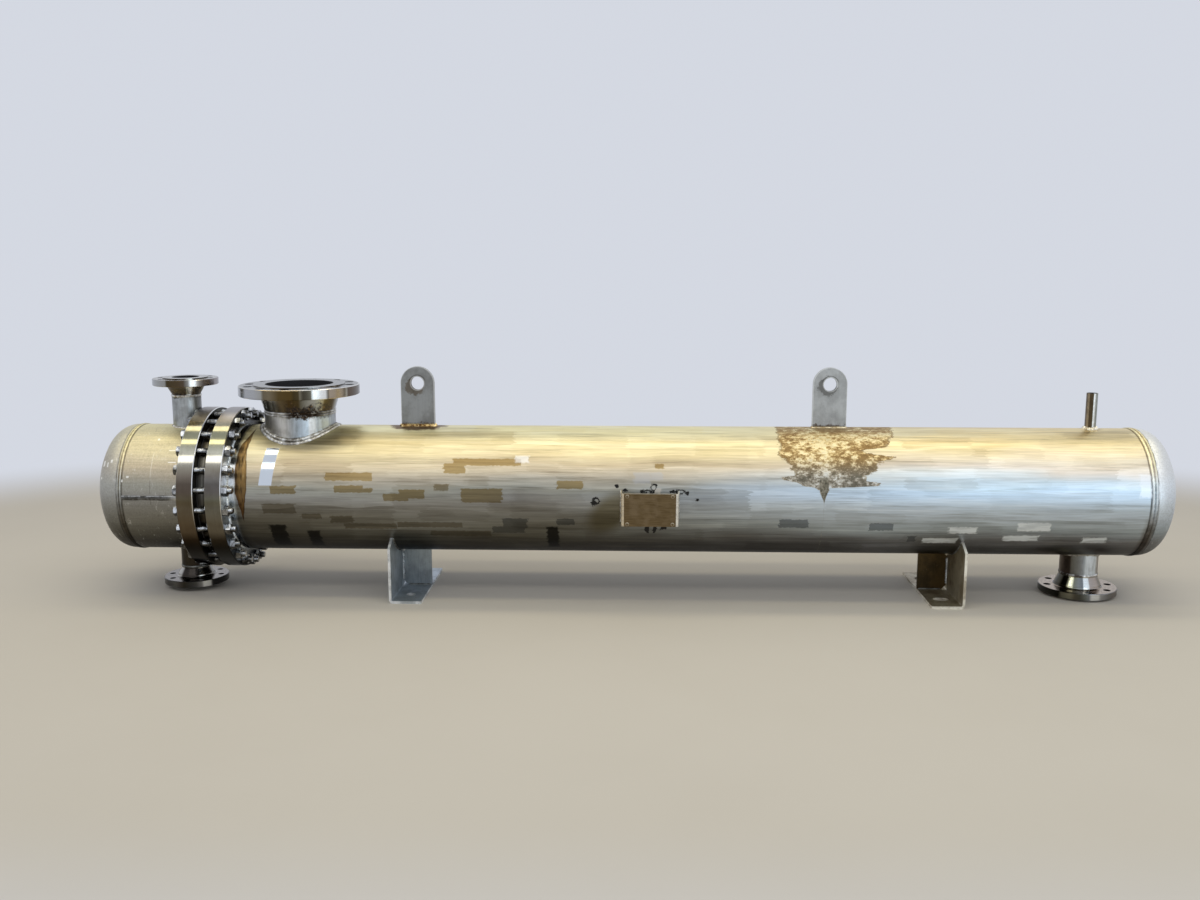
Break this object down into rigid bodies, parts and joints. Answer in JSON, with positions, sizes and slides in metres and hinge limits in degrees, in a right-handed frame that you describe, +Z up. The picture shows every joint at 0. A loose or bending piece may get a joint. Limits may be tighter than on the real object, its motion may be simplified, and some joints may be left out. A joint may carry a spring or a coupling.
{
  "type": "shell and tube heat exchanger",
  "caption": "Horizontal stainless shell and tube heat exchanger on saddles, with a flanged channel, dished ends, flanged nozzles, a vent pipe, lifting lugs and a bare nameplate.",
  "frame": {"origin": "on the floor under the middle of the vessel, between its two ends", "axes": "+X along the vessel from the channel to the shell head, +Y away from the side with the nameplate, +Z up"},
  "size_m": [3.3736, 0.512, 0.719],
  "materials": {
    "satin_stainless": "satin brushed stainless, ground along the vessel, with tape residue and rust film",
    "machined_stainless": "turned stainless with fine concentric marks",
    "pipe_stainless": "drawn stainless pipe, dull, with weld tint",
    "saddle_steel": "mill finish stainless plate",
    "plate_stainless": "smooth plate, bare",
    "gasket": "dark graphite sheet"
  },
  "bodies": {
    "root": {"channel_head": "satin_stainless", "channel_barrel": "satin_stainless", "channel_flange": "machined_stainless", "channel_gasket": "gasket", "pass_partition": "pipe_stainless", "tubesheet": "machined_stainless", "tube_bundle": "pipe_stainless", "shell_gasket": "gasket", "shell_flange": "machined_stainless", "shell_barrel": "satin_stainless", "shell_head": "satin_stainless", "channel_top_pipe": "pipe_stainless", "channel_top_flange": "machined_stainless", "channel_bottom_pipe": "pipe_stainless", "channel_bottom_flange": "machined_stainless", "shell_inlet_pipe": "pipe_stainless", "shell_inlet_flange": "machined_stainless", "shell_outlet_pipe": "pipe_stainless", "shell_outlet_flange": "machined_stainless", "vent_pipe": "pipe_stainless", "lug_left": "saddle_steel", "lug_right": "saddle_steel", "saddle_left_plate": "saddle_steel", "saddle_left_web": "saddle_steel", "saddle_right_plate": "saddle_steel", "saddle_right_web": "saddle_steel", "nameplate_bracket": "pipe_stainless", "nameplate": "plate_stainless"}
  },
  "joints": []
}
